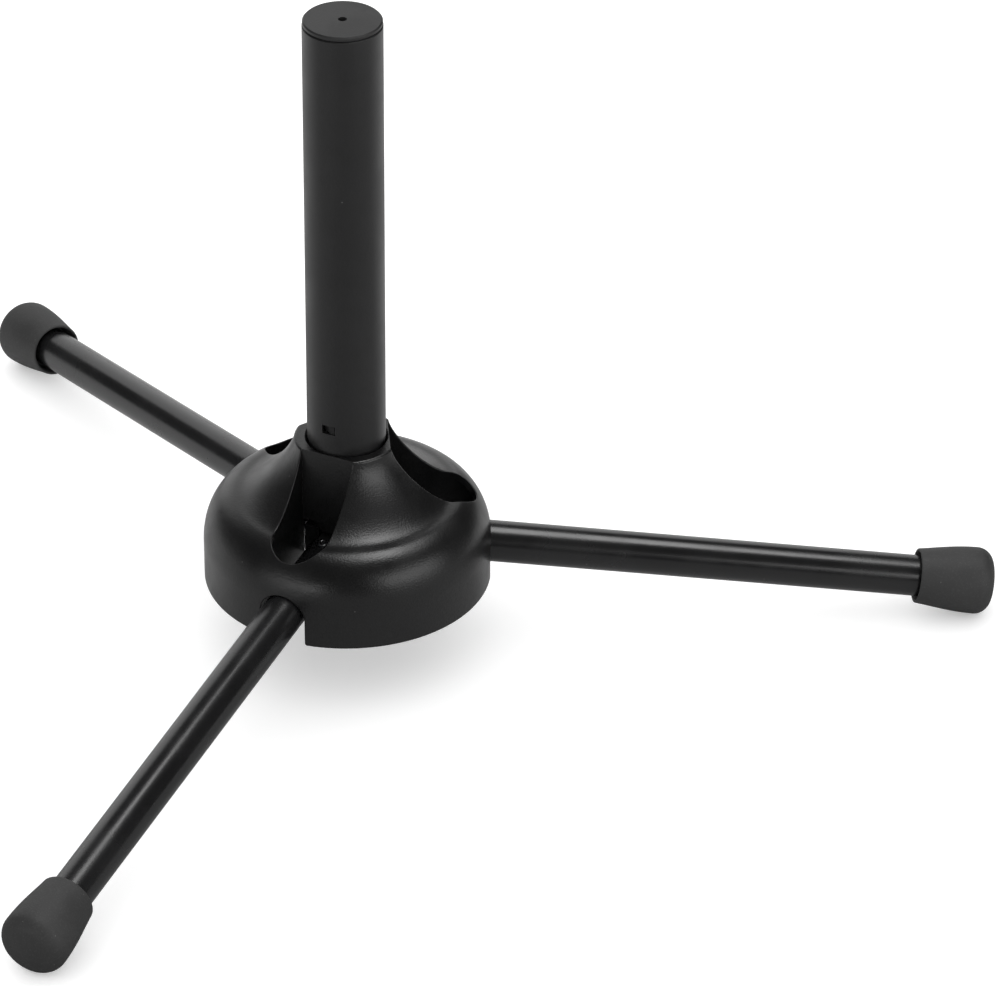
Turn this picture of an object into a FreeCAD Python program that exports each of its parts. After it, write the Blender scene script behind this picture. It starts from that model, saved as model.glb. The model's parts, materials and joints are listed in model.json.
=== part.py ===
import FreeCAD, Part
import math
import os

# Tabletop stand: a plain upright column in a round moulded base, on three legs
# that swing down about pins under the base.  Millimetres, +Z up.  The origin is
# on the column's axis, on the surface that the feet stand on.

V = FreeCAD.Vector
UP = V(0, 0, 1)

# ---------------------------------------------------------------- driving sizes
# Column
COLUMN_OD = 22.5
COLUMN_WALL = 1.5
COLUMN_LENGTH = 155.4            # tube only, from its seat on the hub
COLUMN_EDGE_CHAMFER = 0.3
COLUMN_RELIEF = 0.25             # the part inside the collar is smaller by this in radius
COLUMN_RELIEF_RISE = 0.5         # the relief ends this far above the collar
CAP_FLANGE = 1.1                 # thickness of the cap's visible disc
CAP_FLANGE_INSET = 0.15          # the disc is this much smaller in radius than the tube
CAP_NECK = 0.35                  # shadow gap between the tube and the disc
CAP_NECK_DEPTH = 0.7
CAP_PLUG_LENGTH = 9.0
CAP_PLUG_WALL = 1.8
CAP_HOLE_RADIUS = 1.25
CAP_CHAMFER = 0.4

# Base cover
COVER_RADIUS = 41.35
COVER_WALL = 2.2
COVER_HEIGHT = 45.6              # skirt's lower edge to the collar's top
SKIRT_HEIGHT = 12.0              # straight part of the side
SHOULDER_RUN = 10.85             # radial width of the rounded shoulder
SHOULDER_RISE = 15.1             # height of the rounded shoulder
FLARE_EXPONENT = 1.42            # shape of the hollow sweep from collar to shoulder
COLLAR_FLAT_WALL = 0.6           # collar wall at the middle of each flat
COLLAR_EDGE = 0.4                # depth of a window's side wall at the collar's top
COLLAR_TOP_ROUND = 0.7
COLLAR_LEAD_IN = 0.5
WINDOW_SIDE_GAP = 2.1            # window side to leg
WINDOW_REACH = 28.9              # column axis to the centre of the window's round end
RIM_ROUND = 0.3                  # outer edges of the windows, notches and skirt
RIB_WALL = 1.8                   # walls that run down from the window sides
RIB_FOOT = 3.0                   # height of the ribs' lower edge above the skirt's edge
RIB_ROOT = 1.0                   # the ribs start this far inside the collar's flats
NOTCH_SIDE_GAP = 1.0
NOTCH_TOP_GAP = 0.4
NOTCH_CORNER = 0.8

# Legs
LEG_COUNT = 3
LEG_OD = 12.0
LEG_WALL = 1.0
LEG_REACH = 180.6                # hinge axis to the foot's outer end, along the leg
LEG_SLOPE = 7.9                  # degrees below level when set up
FOLD_ANGLE = 80.0                # degrees that a leg swings down when folded
HINGE_RADIUS = 9.5               # column axis to hinge axis
HINGE_HEIGHT = 12.7              # hinge axis above the skirt's edge
PIN_RADIUS = 1.5
EYE_RADIUS = 2.9                 # knuckle eye and lug end, about the pin
TONGUE_THICKNESS = 4.8
KNUCKLE_PLUG_LENGTH = 12.0
RIVET_SHANK_RADIUS = 1.1
RIVET_HEAD_RADIUS = 1.5
RIVET_HEAD_HEIGHT = 0.45
RIVET_BORE_RADIUS = 0.65
RIVET_EDGE = 0.4                 # tube's end to the rivet head
WASHER_THICKNESS = 0.4

# Feet
FOOT_LENGTH = 22.9
FOOT_TAPER = 1.75                # the side swells by this in radius towards the outer end
FOOT_LIP_WALL = 0.9              # rubber round the gap at the mouth
FOOT_END_ROUND = 4.5
FOOT_END_WALL = 4.5
FOOT_END_CROWN = 0.8
FOOT_MOUTH_GAP = 1.1             # flared gap round the tube at the mouth
FOOT_MOUTH_DEPTH = 5.0
FOOT_LIP_ROUND = 0.35

# Hub under the cover
HUB_PLATE = 3.0
HUB_EDGE_GAP = 0.1
LUG_SIDE_GAP = 0.7               # lug to rib
SPIGOT_ABOVE_LATCH = 3.5         # spigot's top above the latch's tip
SPIGOT_WALL = 2.2
HUB_SCREW_RADIUS = 1.5
HUB_SCREW_LENGTH = 10.0
HUB_SCREW_HEAD_RADIUS = 2.75
HUB_SCREW_HEAD_HEIGHT = 2.0
SCREW_SLOT_WIDTH = 0.8
SCREW_SLOT_DEPTH = 1.0
BOSS_WALL = 2.1
BOSS_SIDE_GAP = 1.4              # boss to rib

# Latch that holds the column on the spigot
LATCH_AZIMUTH = 240.0            # over the front leg
LATCH_WINDOW_WIDTH = 4.1
LATCH_WINDOW_HEIGHT = 2.8
LATCH_WINDOW_RISE = 6.4          # collar's top to the window's lower edge
LATCH_THICKNESS = 1.0
LATCH_WIDTH = 3.4
LATCH_SLOT_WIDTH = 4.4
LATCH_LENGTH = 19.5              # root axis to the tip
LATCH_ROOT_RADIUS = 0.7
LATCH_NOSE_INSET = 0.35          # nose stops this far inside the tube's outer face
LATCH_ROOT_INSET = 0.3           # root stops this far inside the spigot's outer face

# Clearances
COLUMN_COLLAR_CLEARANCE = 0.5    # radial, relieved tube in collar
SPIGOT_CLEARANCE = 0.15          # radial, spigot in tube
PIN_CLEARANCE = 0.05             # radial, pin in knuckle
ROOT_CLEARANCE = 0.05            # radial, latch root in its seat
SIDE_CLEARANCE = 0.15            # knuckle to washer, each side
STOP_CLEARANCE = 0.3             # knuckle heel to hub stop
SWING_CLEARANCE = 0.7            # hub plate above the leg and heel
SCREW_HOLE_CLEARANCE = 0.1
LEG_END_CLEARANCE = 0.4          # tube end to the lugs' round ends

# ---------------------------------------------------------------- derived sizes
LEG_NAMES = {"right": 0.0, "rear": 120.0, "front": 240.0}
LEG_STEP = 360.0 / LEG_COUNT
EDGE_MATCH = 0.02                # closeness that picks an edge by its place

column_r = COLUMN_OD / 2
column_bore_r = column_r - COLUMN_WALL
column_foot_r = column_r - COLUMN_RELIEF
socket_r = column_foot_r + COLUMN_COLLAR_CLEARANCE
leg_r = LEG_OD / 2
leg_bore_r = leg_r - LEG_WALL
window_half = leg_r + WINDOW_SIDE_GAP
flat_r = socket_r + COLLAR_FLAT_WALL
collar_r = math.hypot(flat_r, window_half) + COLLAR_EDGE
notch_half = leg_r + NOTCH_SIDE_GAP
slope = math.radians(LEG_SLOPE)

foot_mouth_r = leg_r + FOOT_MOUTH_GAP + FOOT_LIP_WALL
foot_bulge_r = foot_mouth_r + FOOT_TAPER

# Along the leg, from the hinge axis
tube_start = EYE_RADIUS + LEG_END_CLEARANCE
foot_start = LEG_REACH - FOOT_LENGTH
tube_end = LEG_REACH - FOOT_END_WALL
rivet_at = tube_start + RIVET_EDGE + RIVET_HEAD_RADIUS

# The foot's rounded end edge rests on the floor, which fixes the hinge's height.
foot_corner_along = LEG_REACH - FOOT_END_CROWN - FOOT_END_ROUND
foot_corner_out = foot_bulge_r - FOOT_END_ROUND
hinge_z = foot_corner_along * math.sin(slope) + foot_corner_out * math.cos(slope) + FOOT_END_ROUND
skirt_z = hinge_z - HINGE_HEIGHT

# Hub and column stack, as heights above the floor
plate_under = hinge_z + leg_r + SWING_CLEARANCE
seat_z = plate_under + HUB_PLATE
collar_z = skirt_z + COVER_HEIGHT
tube_top = seat_z + COLUMN_LENGTH
heel_top = leg_r - 0.4
lug_out = window_half - LUG_SIDE_GAP
lug_in = TONGUE_THICKNESS / 2 + SIDE_CLEARANCE + WASHER_THICKNESS
boss_r = HUB_SCREW_RADIUS + BOSS_WALL
ear_at = (window_half + RIB_WALL + BOSS_SIDE_GAP + boss_r) / math.sin(math.radians(LEG_STEP / 2))

# Latch
spigot_r = column_bore_r - SPIGOT_CLEARANCE
latch_mid_r = spigot_r - LATCH_ROOT_INSET - LATCH_ROOT_RADIUS
latch_window_z = collar_z + LATCH_WINDOW_RISE
latch_tip_z = latch_window_z + LATCH_WINDOW_HEIGHT + 0.7
latch_root_z = latch_tip_z - LATCH_LENGTH
spigot_top = latch_tip_z + SPIGOT_ABOVE_LATCH

# ---------------------------------------------------------------------- helpers


def box(x0, x1, y0, y1, z0, z1):
    """Box between two opposite corners."""
    return Part.makeBox(x1 - x0, y1 - y0, z1 - z0, V(x0, y0, z0))


def rod(radius, start, end):
    """Cylinder from start to end."""
    axis = end - start
    return Part.makeCylinder(radius, axis.Length, start, axis)


def turned(edges, axis_dir):
    """Solid of revolution about a line through the origin."""
    face = Part.Face(Part.Wire(edges))
    return face.revolve(V(0, 0, 0), axis_dir, 360)


def lines(points):
    """Straight edges through points."""
    return [Part.makeLine(a, b) for a, b in zip(points, points[1:])]


def smooth(points):
    """One smooth edge through points."""
    curve = Part.BSplineCurve()
    curve.interpolate(points)
    return curve.toShape()


def at_azimuth(shape, degrees):
    """Copy turned about the column's axis."""
    copy = shape.copy()
    copy.rotate(V(0, 0, 0), UP, degrees)
    return copy


def all_round(shape, first=0.0):
    """The shape repeated at every leg's azimuth, from the first one."""
    return [at_azimuth(shape, first + i * LEG_STEP) for i in range(LEG_COUNT)]


def one_solid(shape):
    """The shape's single clean solid."""
    clean = shape.removeSplitter()
    solids = clean.Solids
    if len(solids) != 1:
        raise ValueError("expected one solid, got %d" % len(solids))
    return solids[0]


def on_leg(shape):
    """From leg coordinates (hinge at the origin, leg along +X) to the set-up leg at azimuth 0."""
    placed = shape.copy()
    placed.rotate(V(0, 0, 0), V(0, 1, 0), LEG_SLOPE)
    placed.translate(V(HINGE_RADIUS, 0, hinge_z))
    return placed


def save(name, shape):
    """One STEP file per node."""
    shape.exportStep("parts/" + name + ".step")


# --------------------------------------------------------------------- the cover
def cover_outline():
    """Flare and shoulder, from the collar's top to the top of the straight side."""
    start_r = COVER_RADIUS - SHOULDER_RUN
    start_z = SKIRT_HEIGHT + SHOULDER_RISE
    steps = 9
    points = []
    for i in range(steps):
        angle = math.pi / 2 * i / steps
        run = (start_r - collar_r) * math.cos(angle) ** (2 / FLARE_EXPONENT)
        drop = (COVER_HEIGHT - start_z) * math.sin(angle) ** (2 / FLARE_EXPONENT)
        points.append(V(start_r - run, 0, skirt_z + COVER_HEIGHT - drop))
    for i in range(steps + 1):
        angle = math.pi / 2 * i / steps
        out = SHOULDER_RUN * math.sin(angle)
        rise = SHOULDER_RISE * math.cos(angle)
        points.append(V(start_r + out, 0, skirt_z + SKIRT_HEIGHT + rise))
    return points


def inward(points, wall):
    """The outline moved in by the wall, square to itself."""
    moved = []
    for i, point in enumerate(points):
        before = points[max(i - 1, 0)]
        after = points[min(i + 1, len(points) - 1)]
        along = (after - before).normalize()
        if i == len(points) - 1:
            along = V(0, 0, -1)
        moved.append(point + V(along.z, 0, -along.x) * wall)
    return moved


def under_outline(outline, low):
    """Everything inside an outline, from the height low upwards."""
    first = outline[0]
    last = outline[-1]
    edges = lines([V(0, 0, first.z), V(0, 0, low), V(last.x, 0, low), last])
    edges.append(smooth(outline))
    edges.append(Part.makeLine(first, V(0, 0, first.z)))
    return turned(edges, UP)


def cover_solid():
    """The cover's outside shape, filled."""
    return under_outline(cover_outline(), skirt_z)


def cover_hollow():
    """The space under the cover's wall, round the solid core of the collar."""
    inner = inward(cover_outline(), COVER_WALL)
    inner = [point for point in inner if point.x > collar_r * 0.95]
    core = rod(collar_r - 0.3, V(0, 0, seat_z), V(0, 0, collar_z))
    return under_outline(inner, skirt_z - 1).cut(core)


def mid_wall_solid():
    """Everything inside the middle of the cover's wall: inner walls end there, within the wall."""
    return under_outline(inward(cover_outline(), COVER_WALL / 2), skirt_z)


def window_prism():
    """Upright slot over a leg, from the collar's flat to its round outer end."""
    low = skirt_z + RIB_FOOT
    high = collar_z + 1
    slot = box(flat_r, WINDOW_REACH, -window_half, window_half, low, high)
    return slot.fuse(rod(window_half, V(WINDOW_REACH, 0, low), V(WINDOW_REACH, 0, high)))


def window_ribs(limit):
    """The two walls that carry a window's sides down inside the cover."""
    start = flat_r - RIB_ROOT
    end = WINDOW_REACH + window_half
    walls = []
    for side in (1, -1):
        y0, y1 = sorted((side * window_half, side * (window_half + RIB_WALL)))
        wall = box(start, end, y0, y1, skirt_z + RIB_FOOT, collar_z)
        walls.append(wall.common(limit))
    return walls


def notch():
    """Round-topped opening in the skirt that the leg passes and swings down through."""
    half = notch_half
    axis_drop = (COVER_RADIUS - HINGE_RADIUS) * math.tan(slope)
    crown = hinge_z - axis_drop + leg_r / math.cos(slope) + NOTCH_TOP_GAP
    middle = crown - half
    inner = COVER_RADIUS - SHOULDER_RUN
    outer = COVER_RADIUS + 1
    low = skirt_z - 1
    tool = box(inner, outer, -half, half, low, middle)
    tool = tool.fuse(rod(half, V(inner, 0, middle), V(outer, 0, middle)))
    # The two lower corners are rounded outwards.
    for side in (1, -1):
        y0, y1 = sorted((side * half, side * (half + NOTCH_CORNER)))
        corner = box(inner, outer, y0, y1, low, skirt_z + NOTCH_CORNER)
        centre = side * (half + NOTCH_CORNER)
        centre_z = skirt_z + NOTCH_CORNER
        round_rod = rod(NOTCH_CORNER, V(inner, centre, centre_z), V(outer, centre, centre_z))
        tool = tool.fuse(corner.cut(round_rod))
    return tool


def sampled(edge):
    """Points near an edge's start, middle and end."""
    span = edge.LastParameter - edge.FirstParameter
    return [edge.valueAt(edge.FirstParameter + span * share) for share in (0.1, 0.5, 0.9)]


def seen_from_legs(points):
    """The points in each leg's own frame, one list per leg."""
    views = []
    for azimuth in LEG_NAMES.values():
        turn = FreeCAD.Rotation(UP, -azimuth)
        views.append([turn.multVec(point) for point in points])
    return views


def on_window_wall(point):
    """True where a point in a leg's frame lies on a side or the round end of its window."""
    on_side = abs(abs(point.y) - window_half) < EDGE_MATCH and point.x > flat_r + EDGE_MATCH
    from_centre = math.hypot(point.x - WINDOW_REACH, point.y)
    return on_side or (abs(from_centre - window_half) < EDGE_MATCH and point.x > WINDOW_REACH - 0.1)


def collar_rim(body):
    """Outer edge of the collar's top."""
    found = []
    for edge in body.Edges:
        level = abs(edge.BoundBox.ZMin - collar_z) < EDGE_MATCH and edge.BoundBox.ZLength < EDGE_MATCH
        if level and abs(edge.Curve.Radius - collar_r) < EDGE_MATCH:
            found.append(edge)
    return found


def window_rims(body):
    """Edges where the windows meet the cover's outside, except at the collar's top."""
    found = []
    for edge in body.Edges:
        points = sampled(edge)
        upright = math.hypot(points[2].x - points[0].x, points[2].y - points[0].y) < EDGE_MATCH
        between = skirt_z + SKIRT_HEIGHT < points[1].z < collar_z - EDGE_MATCH
        if between and not upright:
            if any(all(on_window_wall(point) for point in view) for view in seen_from_legs(points)):
                found.append(edge)
    return found


def notch_rims(body):
    """Edges where the notches meet the skirt's straight side."""
    reach = notch_half + NOTCH_CORNER + EDGE_MATCH
    found = []
    for edge in body.Edges:
        points = sampled(edge)
        on_skirt = all(abs(math.hypot(point.x, point.y) - COVER_RADIUS) < EDGE_MATCH for point in points)
        along_bottom = all(abs(point.z - skirt_z) < EDGE_MATCH for point in points)
        if on_skirt and not along_bottom:
            for view in seen_from_legs(points):
                if all(abs(point.y) < reach and point.x > 0 for point in view):
                    found.append(edge)
    return found


def screw_boss(limit):
    """Post under the cover that takes a hub screw, at azimuth 0."""
    post = rod(boss_r, V(ear_at, 0, seat_z), V(ear_at, 0, collar_z))
    return post.common(limit)


def base_cover():
    """The moulded cover: skirt, shoulder, flare, collar, windows and notches."""
    body = cover_solid()
    body = body.makeFillet(COLLAR_TOP_ROUND, collar_rim(body))
    body = body.cut(all_round(window_prism()))
    body = body.makeFillet(RIM_ROUND, window_rims(body))
    body = body.cut(all_round(notch()))
    # The round runs on along the skirt's lower edge.
    body = body.makeFillet(RIM_ROUND, notch_rims(body))
    shell = body.cut(cover_hollow())
    parts = []
    limit = mid_wall_solid()
    for rib in window_ribs(limit):
        parts.extend(all_round(rib))
    parts.extend(all_round(screw_boss(limit), LEG_STEP / 2))
    shell = shell.fuse(parts)
    socket = rod(socket_r, V(0, 0, skirt_z), V(0, 0, collar_z + 1))
    lead_in = Part.makeCone(
        socket_r, socket_r + 2 * COLLAR_LEAD_IN, 2 * COLLAR_LEAD_IN,
        V(0, 0, collar_z - COLLAR_LEAD_IN), UP)
    screw_top = seat_z + HUB_SCREW_LENGTH - HUB_PLATE
    pilot = rod(HUB_SCREW_RADIUS, V(ear_at, 0, seat_z - 1), V(ear_at, 0, screw_top + 1))
    tools = [socket, lead_in]
    tools.extend(all_round(pilot, LEG_STEP / 2))
    return one_solid(shell.cut(tools))


# ----------------------------------------------------------------------- the hub
def hinge_lugs():
    """The pair of lugs and the stop between them, for the leg at azimuth 0."""
    top = plate_under + 1
    parts = []
    for side in (1, -1):
        y0, y1 = sorted((side * lug_in, side * lug_out))
        web = box(HINGE_RADIUS - EYE_RADIUS, HINGE_RADIUS + EYE_RADIUS, y0, y1, hinge_z, top)
        round_end = rod(EYE_RADIUS, V(HINGE_RADIUS, y0, hinge_z), V(HINGE_RADIUS, y1, hinge_z))
        parts.append(web.fuse(round_end))
    stop_face = HINGE_RADIUS - EYE_RADIUS - STOP_CLEARANCE
    stop = box(stop_face - 2.6, stop_face, -lug_in - 0.5, lug_in + 0.5, hinge_z + 1, top)
    side_web = box(stop_face - 2.6, HINGE_RADIUS - EYE_RADIUS + 0.5, lug_in, lug_in + 1.6, hinge_z + 1, top)
    mirror_web = side_web.mirror(V(0, 0, 0), V(0, 1, 0))
    parts.extend([stop, side_web, mirror_web])
    return parts[0].fuse(parts[1:])


def hub_ear():
    """Ear that takes a screw, at azimuth 0."""
    arm = box(0, ear_at, -boss_r, boss_r, plate_under, seat_z)
    return arm.fuse(rod(boss_r, V(ear_at, 0, plate_under), V(ear_at, 0, seat_z)))


def leg_hub():
    """Carrier inside the cover: plate, spigot for the column, ears and hinge lugs."""
    plate = rod(flat_r - HUB_EDGE_GAP, V(0, 0, plate_under), V(0, 0, seat_z))
    spigot = rod(spigot_r, V(0, 0, plate_under), V(0, 0, spigot_top))
    parts = [spigot]
    parts.extend(all_round(hub_ear(), LEG_STEP / 2))
    parts.extend(all_round(hinge_lugs()))
    body = plate.fuse(parts)
    bore = rod(spigot_r - SPIGOT_WALL, V(0, 0, seat_z), V(0, 0, spigot_top + 1))
    edge = Part.makeCone(spigot_r + 1, spigot_r - 1, 2, V(0, 0, spigot_top - 1), UP)
    tapered_top = rod(spigot_r + 2, V(0, 0, spigot_top - 1), V(0, 0, spigot_top + 1)).cut(edge)
    pin_hole = rod(PIN_RADIUS, V(HINGE_RADIUS, -lug_out - 1, hinge_z), V(HINGE_RADIUS, lug_out + 1, hinge_z))
    screw_hole = rod(
        HUB_SCREW_RADIUS + SCREW_HOLE_CLEARANCE, V(ear_at, 0, plate_under - 1), V(ear_at, 0, seat_z + 1))
    half_slot = LATCH_SLOT_WIDTH / 2
    slot = box(0, spigot_r + 1, -half_slot, half_slot, latch_root_z, spigot_top + 1)
    root_seat = rod(
        LATCH_ROOT_RADIUS + ROOT_CLEARANCE, V(latch_mid_r, -half_slot, latch_root_z),
        V(latch_mid_r, half_slot, latch_root_z))
    tools = [bore, tapered_top]
    tools.extend(all_round(pin_hole))
    tools.extend(all_round(screw_hole, LEG_STEP / 2))
    tools.append(at_azimuth(slot, LATCH_AZIMUTH))
    tools.append(at_azimuth(root_seat, LATCH_AZIMUTH))
    return one_solid(body.cut(tools))


def hub_screw():
    """Slotted pan-head screw up through an ear into the cover's boss, at azimuth 0."""
    top = plate_under + HUB_SCREW_LENGTH
    shank = rod(HUB_SCREW_RADIUS, V(ear_at, 0, plate_under), V(ear_at, 0, top))
    head_low = plate_under - HUB_SCREW_HEAD_HEIGHT
    head = rod(HUB_SCREW_HEAD_RADIUS, V(ear_at, 0, head_low), V(ear_at, 0, plate_under))
    lower = [e for e in head.Edges if e.BoundBox.ZMax < head_low + 0.01]
    head = head.makeFillet(0.6, lower)
    half = SCREW_SLOT_WIDTH / 2
    reach = HUB_SCREW_HEAD_RADIUS * 0.7
    deep = head_low + SCREW_SLOT_DEPTH
    cross = box(ear_at - reach, ear_at + reach, -half, half, head_low - 1, deep)
    cross = cross.fuse(box(ear_at - half, ear_at + half, -reach, reach, head_low - 1, deep))
    return one_solid(shank.fuse(head).cut(cross))


# -------------------------------------------------------------------- the column
def column_tube():
    """Plain tube, relieved where it enters the collar, with a small window for the latch."""
    relief_top = collar_z + COLUMN_RELIEF_RISE
    outer = rod(column_foot_r, V(0, 0, seat_z), V(0, 0, relief_top))
    outer = outer.fuse(rod(column_r, V(0, 0, relief_top), V(0, 0, tube_top)))
    tube = outer.cut(rod(column_bore_r, V(0, 0, seat_z - 1), V(0, 0, tube_top + 1)))
    top = [e for e in tube.Edges if e.BoundBox.ZMin > tube_top - 0.01 and e.BoundBox.XMax > column_r - 0.5]
    tube = tube.makeChamfer(COLUMN_EDGE_CHAMFER, top)
    half = LATCH_WINDOW_WIDTH / 2
    window = box(0, column_r + 1, -half, half, latch_window_z, latch_window_z + LATCH_WINDOW_HEIGHT)
    return one_solid(tube.cut(at_azimuth(window, LATCH_AZIMUTH)))


def column_cap():
    """Plug pressed into the tube's top: disc, recessed neck and hollow plug."""
    disc_low = tube_top + CAP_NECK
    disc_top = disc_low + CAP_FLANGE
    disc_r = column_r - CAP_FLANGE_INSET
    disc = rod(disc_r, V(0, 0, disc_low), V(0, 0, disc_top))
    upper = [e for e in disc.Edges if e.BoundBox.ZMin > disc_top - 0.01]
    disc = disc.makeChamfer(CAP_CHAMFER, upper)
    neck = rod(column_r - CAP_NECK_DEPTH, V(0, 0, tube_top), V(0, 0, disc_low))
    plug = rod(column_bore_r, V(0, 0, tube_top - CAP_PLUG_LENGTH), V(0, 0, tube_top))
    hollow_r = column_bore_r - CAP_PLUG_WALL
    hollow = rod(hollow_r, V(0, 0, tube_top - CAP_PLUG_LENGTH - 1), V(0, 0, tube_top - CAP_PLUG_WALL))
    hole = rod(CAP_HOLE_RADIUS, V(0, 0, tube_top - CAP_PLUG_WALL - 1), V(0, 0, disc_top + 1))
    return one_solid(disc.fuse([neck, plug]).cut([hollow, hole]))


def latch_tongue():
    """Tongue that rocks on its round root and pokes its nose into the tube's window."""
    half = LATCH_WIDTH / 2
    inner = latch_mid_r - LATCH_THICKNESS / 2
    outer = latch_mid_r + LATCH_THICKNESS / 2
    root = rod(LATCH_ROOT_RADIUS, V(latch_mid_r, -half, latch_root_z), V(latch_mid_r, half, latch_root_z))
    leaf = box(inner, outer, -half, half, latch_root_z, latch_tip_z)
    nose_half = LATCH_WINDOW_WIDTH / 2 - 0.3
    low = latch_window_z + 0.3
    high = latch_window_z + LATCH_WINDOW_HEIGHT - 0.3
    tip = column_r - LATCH_NOSE_INSET
    # Seen from above, the nose is a wedge: its release side is sloped.
    outline = [
        V(outer, -nose_half, low), V(tip - 1.2, -nose_half, low),
        V(tip, nose_half * 0.3, low), V(tip, nose_half, low),
        V(outer, nose_half, low), V(outer, -nose_half, low)]
    nose = Part.Face(Part.Wire(lines(outline))).extrude(V(0, 0, high - low))
    return at_azimuth(one_solid(leaf.fuse([root, nose])), LATCH_AZIMUTH)


# ---------------------------------------------------------------------- the legs
def leg_tube():
    """Steel tube, cross-drilled for its rivet."""
    tube = rod(leg_r, V(tube_start, 0, 0), V(tube_end, 0, 0))
    tube = tube.cut(rod(leg_bore_r, V(tube_start - 1, 0, 0), V(tube_end + 1, 0, 0)))
    hole = rod(RIVET_SHANK_RADIUS, V(rivet_at, 0, -leg_r - 1), V(rivet_at, 0, leg_r + 1))
    return one_solid(tube.cut(hole))


def leg_knuckle():
    """Plug in the tube's inner end, with the eye that turns on the pin and a stop heel."""
    half = TONGUE_THICKNESS / 2
    eye = rod(EYE_RADIUS, V(0, -half, 0), V(0, half, 0))
    heel = box(-EYE_RADIUS, tube_start, -half, half, 0, heel_top)
    neck = box(0, tube_start, -half, half, -EYE_RADIUS, 0)
    plug = rod(leg_bore_r, V(tube_start, 0, 0), V(tube_start + KNUCKLE_PLUG_LENGTH, 0, 0))
    body = eye.fuse([heel, neck, plug])
    pin_hole = rod(PIN_RADIUS + PIN_CLEARANCE, V(0, -half - 1, 0), V(0, half + 1, 0))
    rivet_hole = rod(RIVET_SHANK_RADIUS, V(rivet_at, 0, -leg_r - 1), V(rivet_at, 0, leg_r + 1))
    return one_solid(body.cut([pin_hole, rivet_hole]))


def leg_rivet():
    """Tubular rivet across the tube and the plug, with a ring head each side."""
    end = leg_r + RIVET_HEAD_HEIGHT
    shank = rod(RIVET_SHANK_RADIUS, V(rivet_at, 0, -leg_r), V(rivet_at, 0, leg_r))
    parts = []
    for side in (1, -1):
        head = rod(RIVET_HEAD_RADIUS, V(rivet_at, 0, 0), V(rivet_at, 0, side * end))
        rim = [e for e in head.Edges if e.Curve.TypeId == "Part::GeomCircle" and abs(e.BoundBox.Center.z) > 1]
        head = head.makeFillet(RIVET_HEAD_HEIGHT * 0.8, rim)
        parts.append(head.cut(rod(leg_r, V(0, 0, 0), V(2 * rivet_at, 0, 0))))
    bore = rod(RIVET_BORE_RADIUS, V(rivet_at, 0, -end - 1), V(rivet_at, 0, end + 1))
    return one_solid(shank.fuse(parts).cut(bore))


def leg_foot():
    """Rubber cup on the tube's outer end: flared mouth, tapered side, rounded end."""
    centre = V(foot_corner_along, 0, foot_corner_out)
    # The side is tangent to the end's round.
    mouth = V(foot_start, 0, foot_mouth_r)
    to_centre = centre - mouth
    lift = math.asin(FOOT_END_ROUND / to_centre.Length)
    bearing = math.atan2(to_centre.z, to_centre.x) + lift
    touch = centre + V(-math.sin(bearing), 0, math.cos(bearing)) * FOOT_END_ROUND
    middle = centre + V(math.cos(math.pi / 4), 0, math.sin(math.pi / 4)) * FOOT_END_ROUND
    corner_end = centre + V(FOOT_END_ROUND, 0, 0)
    crown = V(LEG_REACH, 0, 0)
    crown_r = (foot_corner_out ** 2 + FOOT_END_CROWN ** 2) / (2 * FOOT_END_CROWN)
    half_out = foot_corner_out / 2
    crown_middle = V(LEG_REACH - crown_r + math.sqrt(crown_r ** 2 - half_out ** 2), 0, half_out)
    mouth_hole = leg_r + FOOT_MOUTH_GAP
    gap_end = foot_start + FOOT_MOUTH_DEPTH
    edges = [Part.Arc(touch, middle, corner_end).toShape()]
    edges.append(Part.Arc(corner_end, crown_middle, crown).toShape())
    edges.extend(lines([
        crown, V(tube_end, 0, 0), V(tube_end, 0, leg_r), V(gap_end, 0, leg_r),
        V(gap_end, 0, leg_r + 0.4), V(foot_start, 0, mouth_hole), mouth, touch]))
    foot = turned(edges, V(1, 0, 0))
    lip = [e for e in foot.Edges if e.BoundBox.XMax < foot_start + 0.01]
    return one_solid(foot.makeFillet(FOOT_LIP_ROUND, lip))


def hinge_pin():
    """Pin through both lugs and the knuckle, at azimuth 0."""
    return rod(PIN_RADIUS, V(HINGE_RADIUS, -lug_out, hinge_z), V(HINGE_RADIUS, lug_out, hinge_z))


def hinge_washers():
    """Friction washers on the pin against the lugs, at azimuth 0."""
    washers = []
    for side in (1, -1):
        near = V(HINGE_RADIUS, side * (lug_in - WASHER_THICKNESS), hinge_z)
        far = V(HINGE_RADIUS, side * lug_in, hinge_z)
        washers.append(rod(EYE_RADIUS, near, far).cut(rod(PIN_RADIUS, near, far)))
    return Part.makeCompound(washers)


# ------------------------------------------------------------------------ output
os.makedirs("parts", exist_ok=True)

save("base_cover", base_cover())
save("leg_hub", leg_hub())
save("hub_screws", Part.makeCompound(all_round(hub_screw(), LEG_STEP / 2)))
save("column_tube", column_tube())
save("column_cap", column_cap())
save("latch_tongue", latch_tongue())
for side_name, azimuth in LEG_NAMES.items():
    save("hinge_pin_" + side_name, at_azimuth(hinge_pin(), azimuth))
    save("hinge_washers_" + side_name, at_azimuth(hinge_washers(), azimuth))
    save("leg_tube_" + side_name, at_azimuth(on_leg(leg_tube()), azimuth))
    save("leg_knuckle_" + side_name, at_azimuth(on_leg(leg_knuckle()), azimuth))
    save("leg_rivet_" + side_name, at_azimuth(on_leg(leg_rivet()), azimuth))
    save("leg_foot_" + side_name, at_azimuth(on_leg(leg_foot()), azimuth))

print("hinge height %.3f  skirt edge %.3f  top %.3f" % (hinge_z, skirt_z, tube_top + CAP_NECK + CAP_FLANGE))
print("latch root height %.3f radius %.3f" % (latch_root_z, latch_mid_r))
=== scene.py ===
import json
import math

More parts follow.
